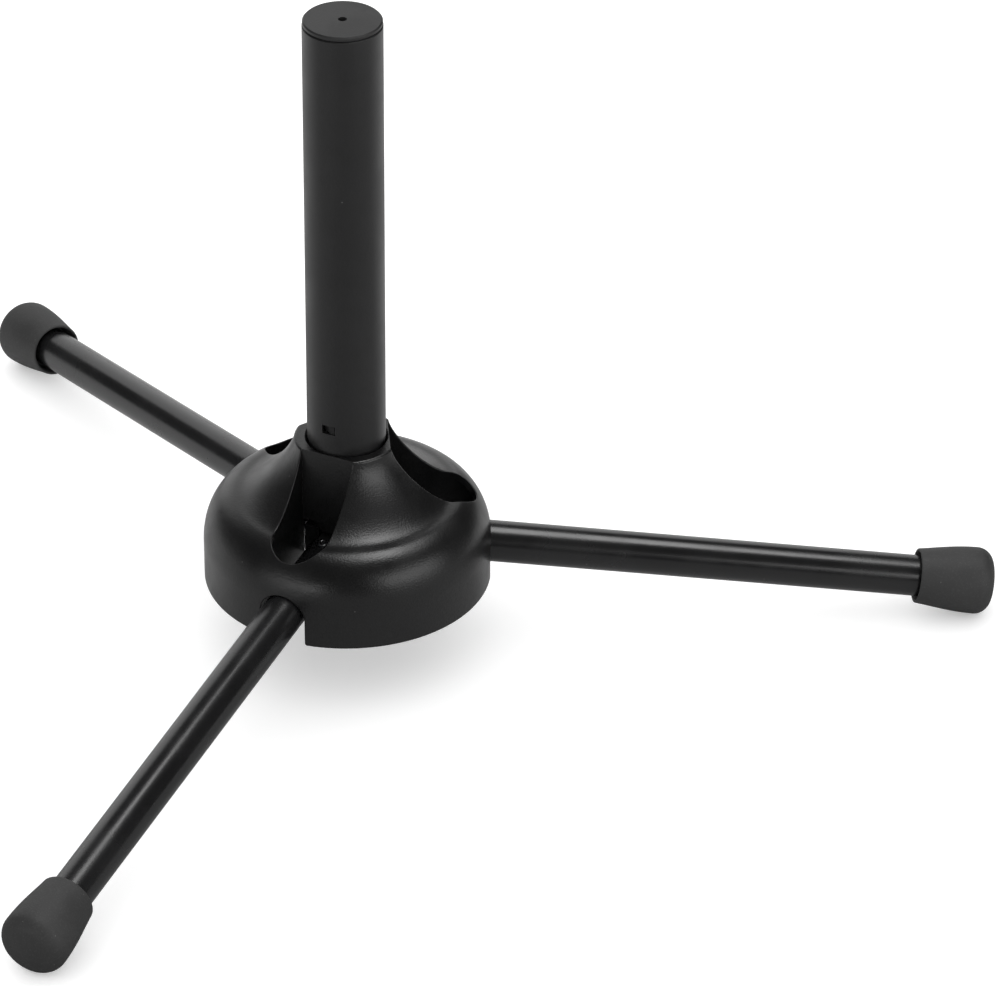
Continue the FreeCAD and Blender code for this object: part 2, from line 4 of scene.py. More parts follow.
import bmesh
import bpy
from mathutils import Matrix, Vector


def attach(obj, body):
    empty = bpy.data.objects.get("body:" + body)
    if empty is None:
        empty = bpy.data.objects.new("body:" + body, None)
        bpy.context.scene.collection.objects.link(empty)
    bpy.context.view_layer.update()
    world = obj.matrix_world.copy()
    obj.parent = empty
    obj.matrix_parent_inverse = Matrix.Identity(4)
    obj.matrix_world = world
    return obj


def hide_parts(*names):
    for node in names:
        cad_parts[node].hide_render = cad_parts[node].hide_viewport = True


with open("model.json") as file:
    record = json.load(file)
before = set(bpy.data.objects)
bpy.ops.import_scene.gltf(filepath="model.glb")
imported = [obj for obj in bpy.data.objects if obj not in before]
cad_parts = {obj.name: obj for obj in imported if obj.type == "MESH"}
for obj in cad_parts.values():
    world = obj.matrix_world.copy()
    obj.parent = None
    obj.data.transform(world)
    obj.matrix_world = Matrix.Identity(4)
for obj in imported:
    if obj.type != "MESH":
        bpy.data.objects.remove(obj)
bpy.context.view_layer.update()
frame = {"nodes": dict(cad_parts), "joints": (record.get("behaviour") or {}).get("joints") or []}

bl_info = {
    "name": "Tabletop Stand Finishes",
    "version": (1, 0, 0),
    "blender": (4, 5, 0),
    "location": "View3D > Sidebar > Stand",
    "description": "Finishes, feet, leg tubes, rivets and stage for a folding tabletop stand",
    "category": "Add Mesh",
}

MM = 0.001
SIDES = ("right", "rear", "front")
LEG_SLOPE = math.radians(7.9)
TURN_SEGMENTS = 96
SHARP_ANGLE = math.radians(50)

# Turned pieces: small sizes that no panel value sets
TUBE_LIP = 0.25 * MM
TUBE_STEPS = 24
FOOT_LIP = 0.4 * MM
FOOT_SIDE_STEPS = 30
FOOT_END_STEPS = 10
FOOT_SWELL_POWER = 1.15
FOOT_MOUTH_DEPTH = 5.0 * MM
FOOT_MOUTH_STEP = 0.4 * MM
FOOT_MOUTH_LEAD = 1.2 * MM
FOOT_MOUTH_FLARE = 0.95 * MM
RIVET_SHANK = 1.1 * MM
RIVET_BORE = 0.65 * MM
RIVET_CROWN = 0.45 * MM
RIVET_SINK = 0.12 * MM
RIVET_SHOULDER = 0.35 * MM
RIVET_FLANGE = 0.30 * MM
RIVET_STEPS = 12
RIVET_TONE = 0.8

# Finishes
SPECK_COLOUR = (0.09, 0.09, 0.088, 1.0)
EDGE_POLISH = -0.12
MIX_SHARE, MIX_FIRST, MIX_SECOND, MIX_RESULT = 0, 6, 7, 2

# Stage: angles in degrees, lengths in metres
LAMP_TARGET = (0.0, 0.0, 0.04)
LAMPS = (
    # name, stage value, azimuth and elevation, distance, width and height, lights matt surfaces
    ("overhead lamp", "overhead", (22, 76), 1.25, (0.64, 0.60), False),
    ("right lamp", "right_lamp", (-42, 18), 0.95, (0.78, 0.36), False),
    ("left lamp", "left_lamp", (-133, 6), 1.40, (1.05, 0.27), False),
    ("lit wall", "wall", (97, 20), 1.7, (1.9, 1.15), True),
)
PAPER_HALF = 4.0
PAPER_CELLS = 8
# Painted shade on the paper, seen only in reflections: its darkest share of the paper colour, and
# the Y range and top share over which it lightens towards the back
PAPER_PAINTED_SHADE_DARKEST = 0.4
PAPER_FADE_FROM, PAPER_FADE_TO, PAPER_FADE_TOP = -0.12, 0.14, 0.8
CAMERA_PLACE = (-0.06596, -1.45806, 0.97110)
CAMERA_HEADING = 85.69
CAMERA_PITCH = 32.336
CAMERA_ROLL = 0.350
CAMERA_LENS = 216.94
CAMERA_SENSOR = 36.0
CAMERA_CLIP_END = 20.0


# ------------------------------------------------------------------ leg geometry
def hinge_of(side):
    """Hinge point and azimuth of a leg, from the frame's joints."""
    joint = next(j for j in frame["joints"] if j["name"] == "fold_" + side)
    point = Vector(joint["pos_m"])
    return point, math.atan2(point.y, point.x)


def leg_matrix(side):
    """Leg coordinates: the hinge at the origin and the leg along +X."""
    point, azimuth = hinge_of(side)
    turn = Matrix.Rotation(azimuth, 4, "Z") @ Matrix.Rotation(LEG_SLOPE, 4, "Y")
    return Matrix.Translation(point) @ turn


# ------------------------------------------------------------------------ values
class StandSizes(bpy.types.PropertyGroup):
    """Sizes of the turned pieces, as built on the frame."""

    tube_radius: bpy.props.FloatProperty(
        name="Leg radius", description="Outside radius of a leg tube",
        default=6.0 * MM, unit="LENGTH", precision=5)
    tube_wall: bpy.props.FloatProperty(
        name="Leg wall", description="Wall thickness of a leg tube",
        default=1.0 * MM, unit="LENGTH", precision=5)
    tube_start: bpy.props.FloatProperty(
        name="Leg start", description="Hinge axis to the tube's inner end",
        default=3.3 * MM, unit="LENGTH", precision=5)
    tube_end: bpy.props.FloatProperty(
        name="Leg end", description="Hinge axis to the tube's outer end",
        default=176.1 * MM, unit="LENGTH", precision=5)
    reach: bpy.props.FloatProperty(
        name="Leg reach", description="Hinge axis to the foot's outer end",
        default=180.6 * MM, unit="LENGTH", precision=5)
    foot_length: bpy.props.FloatProperty(
        name="Foot length", description="Length of a rubber foot",
        default=22.9 * MM, unit="LENGTH", precision=5)
    foot_mouth: bpy.props.FloatProperty(
        name="Foot mouth radius", description="Outside radius at the foot's inner end",
        default=8.0 * MM, unit="LENGTH", precision=5)
    foot_bulge: bpy.props.FloatProperty(
        name="Foot radius", description="Largest radius of a foot, near its outer end",
        default=9.75 * MM, unit="LENGTH", precision=5)
    foot_round: bpy.props.FloatProperty(
        name="Foot end round", description="Radius of the round between side and end",
        default=4.5 * MM, unit="LENGTH", precision=5)
    foot_crown: bpy.props.FloatProperty(
        name="Foot end crown", description="How far the middle of a foot's end stands out",
        default=0.8 * MM, unit="LENGTH", precision=5)
    rivet_at: bpy.props.FloatProperty(
        name="Rivet place", description="Hinge axis to the rivet, along the leg",
        default=5.2 * MM, unit="LENGTH", precision=5)
    rivet_radius: bpy.props.FloatProperty(
        name="Rivet head radius", description="Outside radius of the ring-shaped rivet head",
        default=1.5 * MM, unit="LENGTH", precision=5)


class StandColours(bpy.types.PropertyGroup):
    """Base colours of the finishes."""

    column: bpy.props.FloatVectorProperty(
        name="Column", description="Powder coat on the column",
        default=(0.011, 0.011, 0.0115), subtype="COLOR", min=0.0, max=1.0)
    cap: bpy.props.FloatVectorProperty(
        name="Cap", description="Moulded cap on the column",
        default=(0.021, 0.021, 0.0215), subtype="COLOR", min=0.0, max=1.0)
    cover: bpy.props.FloatVectorProperty(
        name="Cover", description="Moulded base cover",
        default=(0.0065, 0.0065, 0.0068), subtype="COLOR", min=0.0, max=1.0)
    leg: bpy.props.FloatVectorProperty(
        name="Legs", description="Enamel on the leg tubes",
        default=(0.010, 0.010, 0.0105), subtype="COLOR", min=0.0, max=1.0)
    rubber: bpy.props.FloatVectorProperty(
        name="Rubber", description="Rubber of the feet",
        default=(0.038, 0.038, 0.038), subtype="COLOR", min=0.0, max=1.0)
    steel: bpy.props.FloatVectorProperty(
        name="Steel", description="Bare steel of pins, washers, screws and rivets",
        default=(0.42, 0.42, 0.43), subtype="COLOR", min=0.0, max=1.0)
    floor: bpy.props.FloatVectorProperty(
        name="Floor", description="Paper that the stand is on",
        default=(0.86, 0.86, 0.86), subtype="COLOR", min=0.0, max=1.0)


class StandStage(bpy.types.PropertyGroup):
    """Brightness of the lamps and the room, as radiance, and of the paper."""

    overhead: bpy.props.FloatProperty(
        name="Overhead lamp", description="Radiance of the soft lamp above",
        default=7.0, min=0.0)
    right_lamp: bpy.props.FloatProperty(
        name="Right lamp", description="Radiance of the soft lamp in front on the right",
        default=3.3, min=0.0)
    left_lamp: bpy.props.FloatProperty(
        name="Left lamp", description="Radiance of the low lamp in front on the left",
        default=2.9, min=0.0)
    wall: bpy.props.FloatProperty(
        name="Wall", description="Radiance of the lit wall behind",
        default=1.2, min=0.0)
    room: bpy.props.FloatProperty(
        name="Room", description="Radiance of the rest of the room in reflections",
        default=0.04, min=0.0)
    fill: bpy.props.FloatProperty(
        name="Fill", description="Even light that the matt surfaces get from all round",
        default=1.1, min=0.0)
    lift: bpy.props.FloatProperty(
        name="Paper lift", description="Light that the paper adds where the camera sees it",
        default=0.32, min=0.0)


# ----------------------------------------------------------------- shader helpers
def put(tree, kind, **settings):
    """A node of that kind, with its settings."""
    made = tree.nodes.new(kind)
    for key, value in settings.items():
        setattr(made, key, value)
    return made


def join(tree, source, target):
    """Link an output socket to an input socket."""
    tree.links.new(source, target)


def new_group(name, inputs, outputs):
    """Empty node group with float inputs {name: default} and outputs {name: socket type}."""
    group = bpy.data.node_groups.new(name, "ShaderNodeTree")
    for label, value in inputs.items():
        socket = group.interface.new_socket(label, in_out="INPUT", socket_type="NodeSocketFloat")
        socket.default_value = value
    for label, kind in outputs.items():
        group.interface.new_socket(label, in_out="OUTPUT", socket_type=kind)
    return group, group.nodes.new("NodeGroupInput"), group.nodes.new("NodeGroupOutput")


def use_group(tree, group, **values):
    """The group placed in a material, with this material's own values."""
    made = tree.nodes.new("ShaderNodeGroup")
    made.node_tree = group
    for key, value in values.items():
        made.inputs[key.replace("_", " ")].default_value = value
    return made


def math_node(tree, operation, first, second=None, third=None, clamp=False):
    """Math on sockets or plain numbers; returns the output socket."""
    made = tree.nodes.new("ShaderNodeMath")
    made.operation = operation
    made.use_clamp = clamp
    for index, value in enumerate((first, second, third)):
        if value is None:
            continue
        if isinstance(value, (int, float)):
            made.inputs[index].default_value = value
        else:
            tree.links.new(value, made.inputs[index])
    return made.outputs[0]


def remap(tree, value, low, high, to_low, to_high):
    """Smooth clamped change of range; returns the output socket."""
    made = tree.nodes.new("ShaderNodeMapRange")
    made.interpolation_type = "SMOOTHSTEP"
    for index, number in enumerate((low, high, to_low, to_high), start=1):
        made.inputs[index].default_value = number
    tree.links.new(value, made.inputs[0])
    return made.outputs[0]


# ------------------------------------------------------------------ shared effects
def grain_group():
    """Fine moulded or sprayed grain: a height and a mask of the grain's tops."""
    group, entry, leave = new_group(
        "Fine Grain", {"Per Metre": 2500.0, "Mix": 0.5},
        {"Height": "NodeSocketFloat", "Tops": "NodeSocketFloat"})
    place = group.nodes.new("ShaderNodeTexCoord")
    cells = group.nodes.new("ShaderNodeTexVoronoi")
    cells.feature = "SMOOTH_F1"
    cells.inputs["Smoothness"].default_value = 0.6
    cloud = group.nodes.new("ShaderNodeTexNoise")
    cloud.inputs["Detail"].default_value = 2.0
    for texture in (cells, cloud):
        join(group, place.outputs["Object"], texture.inputs["Vector"])
        join(group, entry.outputs["Per Metre"], texture.inputs["Scale"])
    bumps = math_node(group, "SUBTRACT", 1.0, cells.outputs["Distance"])
    rest = math_node(group, "SUBTRACT", 1.0, entry.outputs["Mix"])
    first = math_node(group, "MULTIPLY", bumps, rest)
    second = math_node(group, "MULTIPLY", cloud.outputs["Fac"], entry.outputs["Mix"])
    height = math_node(group, "ADD", first, second)
    join(group, height, leave.inputs["Height"])
    join(group, remap(group, height, 0.52, 0.75, 0.0, 1.0), leave.inputs["Tops"])
    return group


def cloud_group():
    """Slow unevenness of a surface, from 0 to 1."""
    group, entry, leave = new_group(
        "Slow Unevenness", {"Per Metre": 60.0}, {"Value": "NodeSocketFloat"})
    place = group.nodes.new("ShaderNodeTexCoord")
    cloud = group.nodes.new("ShaderNodeTexNoise")
    cloud.inputs["Detail"].default_value = 3.0
    cloud.inputs["Roughness"].default_value = 0.55
    join(group, place.outputs["Object"], cloud.inputs["Vector"])
    join(group, entry.outputs["Per Metre"], cloud.inputs["Scale"])
    join(group, remap(group, cloud.outputs["Fac"], 0.3, 0.7, 0.0, 1.0), leave.inputs["Value"])
    return group


def edge_group():
    """Mask of worn or polished edges, broken up by noise."""
    group, entry, leave = new_group(
        "Edge Wear", {"Width": 0.0003, "Per Metre": 900.0}, {"Mask": "NodeSocketFloat"})
    place = group.nodes.new("ShaderNodeTexCoord")
    softened = group.nodes.new("ShaderNodeBevel")
    softened.samples = 4
    join(group, entry.outputs["Width"], softened.inputs["Radius"])
    surface = group.nodes.new("ShaderNodeNewGeometry")
    compare = group.nodes.new("ShaderNodeVectorMath")
    compare.operation = "DOT_PRODUCT"
    join(group, softened.outputs["Normal"], compare.inputs[0])
    join(group, surface.outputs["Normal"], compare.inputs[1])
    edge = remap(group, compare.outputs["Value"], 0.99, 0.80, 0.0, 1.0)
    broken = group.nodes.new("ShaderNodeTexNoise")
    broken.inputs["Detail"].default_value = 4.0
    join(group, place.outputs["Object"], broken.inputs["Vector"])
    join(group, entry.outputs["Per Metre"], broken.inputs["Scale"])
    patchy = remap(group, broken.outputs["Fac"], 0.35, 0.65, 0.25, 1.0)
    join(group, math_node(group, "MULTIPLY", edge, patchy, clamp=True), leave.inputs["Mask"])
    return group


def speck_group():
    """Sparse light specks of dust and talc."""
    group, entry, leave = new_group(
        "Dust Specks", {"Per Metre": 900.0, "Share": 0.1, "Size": 0.2}, {"Mask": "NodeSocketFloat"})
    place = group.nodes.new("ShaderNodeTexCoord")
    cells = group.nodes.new("ShaderNodeTexVoronoi")
    join(group, place.outputs["Object"], cells.inputs["Vector"])
    join(group, entry.outputs["Per Metre"], cells.inputs["Scale"])
    parts = group.nodes.new("ShaderNodeSeparateColor")
    join(group, cells.outputs["Color"], parts.inputs["Color"])
    chosen = math_node(group, "LESS_THAN", parts.outputs["Red"], entry.outputs["Share"])
    reach = math_node(group, "MULTIPLY", entry.outputs["Size"], parts.outputs["Green"])
    near = math_node(group, "LESS_THAN", cells.outputs["Distance"], reach)
    join(group, math_node(group, "MULTIPLY", chosen, near), leave.inputs["Mask"])
    return group


def streak_group():
    """Long fine draw lines along a piece's own X axis: a height."""
    group, entry, leave = new_group(
        "Draw Lines", {"Per Metre": 1400.0, "Stretch": 0.004}, {"Height": "NodeSocketFloat"})
    place = group.nodes.new("ShaderNodeTexCoord")
    parts = group.nodes.new("ShaderNodeSeparateXYZ")
    join(group, place.outputs["Object"], parts.inputs["Vector"])
    whole = group.nodes.new("ShaderNodeCombineXYZ")
    along = math_node(group, "MULTIPLY", parts.outputs["X"], entry.outputs["Stretch"])
    join(group, along, whole.inputs["X"])
    join(group, parts.outputs["Y"], whole.inputs["Y"])
    join(group, parts.outputs["Z"], whole.inputs["Z"])
    lines = group.nodes.new("ShaderNodeTexNoise")
    lines.inputs["Detail"].default_value = 2.0
    join(group, whole.outputs["Vector"], lines.inputs["Vector"])
    join(group, entry.outputs["Per Metre"], lines.inputs["Scale"])
    join(group, lines.outputs["Fac"], leave.inputs["Height"])
    return group


GROUP_MAKERS = {
    "Fine Grain": grain_group,
    "Slow Unevenness": cloud_group,
    "Edge Wear": edge_group,
    "Dust Specks": speck_group,
    "Draw Lines": streak_group,
}


def effect(name):
    """The shared effect of that name, built the first time it is asked for."""
    return bpy.data.node_groups.get(name) or GROUP_MAKERS[name]()


# -------------------------------------------------------------------- materials
def finish_material(
        name, colour, rough, rough_spread, grain, grain_depth, edge_width, edge_lift, specks,
        ior=1.45, metallic=0.0, lines=0.0, tone_spread=0.25):
    """A finish with grain, unevenness, edge wear and specks, on a Principled shader of its own."""
    material = bpy.data.materials.new(name)
    material.use_nodes = True
    tree = material.node_tree
    shader = tree.nodes["Principled BSDF"]
    shader.inputs["IOR"].default_value = ior
    shader.inputs["Metallic"].default_value = metallic

    grains = use_group(tree, effect("Fine Grain"), Per_Metre=grain)
    cloud = use_group(tree, effect("Slow Unevenness"))
    wear = use_group(tree, effect("Edge Wear"), Width=edge_width)
    dust = use_group(tree, effect("Dust Specks"), Share=specks)

    dark = [channel * (1.0 - tone_spread) for channel in colour] + [1.0]
    light = [channel * (1.0 + tone_spread) for channel in colour] + [1.0]
    tone = put(tree, "ShaderNodeMix", data_type="RGBA")
    tone.inputs[MIX_FIRST].default_value = dark
    tone.inputs[MIX_SECOND].default_value = light
    share = math_node(tree, "MULTIPLY_ADD", cloud.outputs["Value"], 0.5, 0.0)
    share = math_node(tree, "MULTIPLY_ADD", grains.outputs["Tops"], 0.5, share)
    join(tree, share, tone.inputs[MIX_SHARE])

    worn = put(tree, "ShaderNodeMix", data_type="RGBA")
    lifted = [min(1.0, channel + edge_lift) for channel in colour] + [1.0]
    worn.inputs[MIX_SECOND].default_value = lifted
    join(tree, wear.outputs["Mask"], worn.inputs[MIX_SHARE])
    join(tree, tone.outputs[MIX_RESULT], worn.inputs[MIX_FIRST])

    dusty = put(tree, "ShaderNodeMix", data_type="RGBA")
    dusty.inputs[MIX_SECOND].default_value = SPECK_COLOUR
    join(tree, dust.outputs["Mask"], dusty.inputs[MIX_SHARE])
    join(tree, worn.outputs[MIX_RESULT], dusty.inputs[MIX_FIRST])
    join(tree, dusty.outputs[MIX_RESULT], shader.inputs["Base Color"])

    low, high = rough - rough_spread, rough + rough_spread
    uneven = remap(tree, cloud.outputs["Value"], 0.0, 1.0, low, high)
    polished = math_node(
        tree, "MULTIPLY_ADD", wear.outputs["Mask"], EDGE_POLISH, uneven, clamp=True)
    join(tree, polished, shader.inputs["Roughness"])

    height = grains.outputs["Height"]
    if lines:
        drawn = use_group(tree, effect("Draw Lines"))
        height = math_node(tree, "MULTIPLY_ADD", drawn.outputs["Height"], lines, height)
    bump = put(tree, "ShaderNodeBump")
    bump.inputs["Strength"].default_value = 1.0
    bump.inputs["Distance"].default_value = grain_depth
    join(tree, height, bump.inputs["Height"])
    join(tree, bump.outputs["Normal"], shader.inputs["Normal"])
    return material


def paint(thing, material):
    """Give a piece one material on every face."""
    thing.data.materials.clear()
    thing.data.materials.append(material)


def paint_nodes(names, material):
    """Give carried-over CAD nodes a material."""
    for name in names:
        paint(frame["nodes"][name], material)


# ------------------------------------------------------------------ mesh helpers
def arc(centre, radius, start, end, steps):
    """Points (x, r) on an arc, angles in degrees from +X towards +r, both ends included."""
    points = []
    for i in range(steps + 1):
        angle = math.radians(start + (end - start) * i / steps)
        points.append(
            (centre[0] + radius * math.cos(angle), centre[1] + radius * math.sin(angle)))
    return points


def turned_mesh(name, profile, axis="X"):
    """Closed mesh of revolution from (along, radius) points, turned about X or Z."""
    mesh = bpy.data.meshes.new(name)
    build = bmesh.new()
    rings = []
    for along, radius in profile:
        if radius < 1e-9:
            rings.append([build.verts.new((along, 0.0, 0.0))])
            continue
        ring = []
        for k in range(TURN_SEGMENTS):
            angle = 2 * math.pi * k / TURN_SEGMENTS
            across, up = radius * math.cos(angle), radius * math.sin(angle)
            ring.append(build.verts.new((along, across, up)))
        rings.append(ring)
    for first, second in zip(rings, rings[1:] + rings[:1]):
        for k in range(TURN_SEGMENTS):
            n = (k + 1) % TURN_SEGMENTS
            if len(first) == 1 and len(second) == 1:
                continue
            if len(first) == 1:
                build.faces.new((first[0], second[k], second[n]))
            elif len(second) == 1:
                build.faces.new((first[k], second[0], first[n]))
            else:
                build.faces.new((first[k], second[k], second[n], first[n]))
    bmesh.ops.recalc_face_normals(build, faces=build.faces)
    if axis == "Z":
        upright = Matrix.Rotation(-math.pi / 2, 4, "Y")
        bmesh.ops.transform(build, matrix=upright, verts=build.verts)
    build.to_mesh(mesh)
    build.free()
    mesh.shade_smooth()
    mesh.set_sharp_from_angle(angle=SHARP_ANGLE)
    return mesh


def add_piece(name, mesh, matrix, body, material, slot_name, *replaced):
    """Place a new piece in the row frame, on its body, with its finish; the slot name is not used.
    """
    thing = bpy.data.objects.new(name, mesh)
    bpy.context.scene.collection.objects.link(thing)
    thing.matrix_world = matrix
    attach(thing, body)
    paint(thing, material)
    if replaced:
        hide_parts(*replaced)
    return thing


# --------------------------------------------------------------------- operators
class STAND_OT_cover(bpy.types.Operator):
    """Finish the moulded base cover"""

    bl_idname = "stand.cover"
    bl_label = "Base Cover"

    def execute(self, context):
        colours = context.scene.stand_colours
        plastic = finish_material(
            "satin moulded plastic", colours.cover, 0.35, 0.04, grain=1900.0, grain_depth=0.00005,
            edge_width=0.0004, edge_lift=0.02, specks=0.006, ior=1.5)
        paint_nodes(["base_cover"], plastic)
        return {"FINISHED"}


class STAND_OT_column(bpy.types.Operator):
    """Finish the column tube and its cap"""

    bl_idname = "stand.column"
    bl_label = "Column"

    def execute(self, context):
        colours = context.scene.stand_colours
        coat = finish_material(
            "matt powder coat", colours.column, 0.44, 0.03, grain=3200.0, grain_depth=0.000024,
            edge_width=0.0003, edge_lift=0.03, specks=0.004, ior=1.5)
        paint_nodes(["column_tube"], coat)
        cap = finish_material(
            "matt cap plastic", colours.cap, 0.48, 0.05, grain=2400.0, grain_depth=0.000015,
            edge_width=0.0003, edge_lift=0.02, specks=0.01)
        paint_nodes(["column_cap"], cap)
        return {"FINISHED"}


class STAND_OT_hub(bpy.types.Operator):
    """Finish the hub, knuckles, pins, washers, screws and latch"""

    bl_idname = "stand.hub"
    bl_label = "Hub and Hinges"

    def execute(self, context):
        colours = context.scene.stand_colours
        plastic = finish_material(
            "plain hub plastic", colours.cover, 0.55, 0.06, grain=1800.0, grain_depth=0.00002,
            edge_width=0.0003, edge_lift=0.003, specks=0.0)
        knuckles = ["leg_knuckle_" + side for side in SIDES]
        paint_nodes(["leg_hub", "latch_tongue"] + knuckles, plastic)
        steel = finish_material(
            "bright steel", colours.steel, 0.28, 0.08, grain=4200.0, grain_depth=0.000006,
            edge_width=0.0002, edge_lift=0.2, specks=0.0, metallic=1.0, tone_spread=0.12)
        names = ["hub_screws"]
        for side in SIDES:
            names.extend(["hinge_pin_" + side, "hinge_washers_" + side])
        paint_nodes(names, steel)
        return {"FINISHED"}


class STAND_OT_leg_tubes(bpy.types.Operator):
    """Build the three enamelled leg tubes"""

    bl_idname = "stand.leg_tubes"
    bl_label = "Leg Tubes"

    def execute(self, context):
        sizes = context.scene.stand_sizes
        colours = context.scene.stand_colours
        enamel = finish_material(
            "semi-gloss enamel", colours.leg, 0.25, 0.03, grain=1500.0, grain_depth=0.00001,
            edge_width=0.0003, edge_lift=0.03, specks=0.004, ior=1.5, lines=0.6)
        outer = sizes.tube_radius
        inner = outer - sizes.tube_wall
        start, end, lip = sizes.tube_start, sizes.tube_end, TUBE_LIP
        profile = [(start + lip, outer)]
        for i in range(1, TUBE_STEPS):
            profile.append((start + (end - start) * i / TUBE_STEPS, outer))
        profile.extend(arc((end - lip, outer - lip), lip, 90, 0, 4))
        profile.append((end, inner))
        profile.append((start, inner))
        profile.extend(arc((start + lip, outer - lip), lip, 180, 90, 4)[:-1])
        mesh = turned_mesh("leg_tube_mesh", profile)
        for side in SIDES:
            add_piece(
                "enamelled_leg_" + side, mesh.copy(), leg_matrix(side), "leg_" + side, enamel,
                "leg_black", "leg_tube_" + side)
        return {"FINISHED"}


class STAND_OT_feet(bpy.types.Operator):
    """Build the three rubber feet"""

    bl_idname = "stand.feet"
    bl_label = "Feet"

    def execute(self, context):
        sizes = context.scene.stand_sizes
        colours = context.scene.stand_colours
        rubber = finish_material(
            "textured rubber", colours.rubber, 0.66, 0.05, grain=1700.0, grain_depth=0.00005,
            edge_width=0.0006, edge_lift=0.02, specks=0.05, ior=1.45)
        mesh = turned_mesh("foot_mesh", self.profile(sizes))
        for side in SIDES:
            add_piece(
                "rubber_foot_" + side, mesh.copy(), leg_matrix(side), "leg_" + side, rubber,
                "foot_rubber", "leg_foot_" + side)
        return {"FINISHED"}

    @staticmethod
    def profile(sizes):
        """Half section of a foot: side, end, bore and flared mouth."""
        start = sizes.reach - sizes.foot_length
        crown = sizes.foot_crown
        corner_x = sizes.reach - crown - sizes.foot_round
        corner_r = sizes.foot_bulge - sizes.foot_round
        mouth, lip = sizes.foot_mouth, FOOT_LIP
        points = arc((start + lip, mouth - lip), lip, 180, 100, 6)
        for i in range(1, FOOT_SIDE_STEPS):
            share = i / FOOT_SIDE_STEPS
            along = start + lip + (corner_x - start - lip) * share
            swell = math.sin(share * math.pi / 2) ** FOOT_SWELL_POWER
            points.append((along, mouth + (sizes.foot_bulge - mouth) * swell))
        points.extend(arc((corner_x, corner_r), sizes.foot_round, 90, 8, 12))
        for i in range(1, FOOT_END_STEPS):
            share = i / FOOT_END_STEPS
            bow = crown * (1 - (1 - share) ** 2)
            points.append((sizes.reach - crown + bow, corner_r * (1 - share)))
        points.append((sizes.reach, 0.0))
        points.append((sizes.tube_end, 0.0))
        bore = sizes.tube_radius
        points.append((sizes.tube_end, bore))
        points.append((start + FOOT_MOUTH_DEPTH, bore))
        points.append((start + FOOT_MOUTH_DEPTH, bore + FOOT_MOUTH_STEP))
        points.append((start + FOOT_MOUTH_LEAD, bore + FOOT_MOUTH_FLARE))
        points.extend(arc((start + lip, mouth - lip), lip, 235, 190, 4))
        return points


class STAND_OT_rivets(bpy.types.Operator):
    """Build the ring-headed rivets across the leg tubes"""

    bl_idname = "stand.rivets"
    bl_label = "Rivets"

    def execute(self, context):
        sizes = context.scene.stand_sizes
        colours = context.scene.stand_colours
        plated = finish_material(
            "black plated steel", [RIVET_TONE * channel for channel in colours.steel], 0.3, 0.06,
            grain=4000.0, grain_depth=0.000005, edge_width=0.0002, edge_lift=0.2, specks=0.0,
            metallic=1.0, tone_spread=0.15)
        mesh = turned_mesh("rivet_mesh", self.profile(sizes), axis="Z")
        for side in SIDES:
            place = leg_matrix(side) @ Matrix.Translation((sizes.rivet_at, 0.0, 0.0))
            add_piece(
                "ring_rivet_" + side, mesh.copy(), place, "leg_" + side, plated,
                "bright_steel", "leg_rivet_" + side)
        return {"FINISHED"}

    @staticmethod
    def profile(sizes):
        """Half section of a tubular rivet: shank with a rolled ring at each end."""
        seat = sizes.tube_radius
        outer = sizes.rivet_radius
        middle = (outer + RIVET_BORE) / 2
        half = (outer - RIVET_BORE) / 2
        points = []
        for side in (1, -1):
            ring = []
            for i in range(RIVET_STEPS + 1):
                angle = math.pi * i / RIVET_STEPS
                height = seat - RIVET_SINK + RIVET_CROWN * math.sin(angle) ** 0.8
                ring.append((side * height, middle + half * math.cos(angle)))
            if side == 1:
                points.append((seat - RIVET_SHOULDER, RIVET_SHANK))
                points.append((seat - RIVET_FLANGE, outer))
                points.extend(ring)
            else:
                points.extend(reversed(ring))
                points.append((-seat + RIVET_FLANGE, outer))
                points.append((-seat + RIVET_SHOULDER, RIVET_SHANK))
        return points


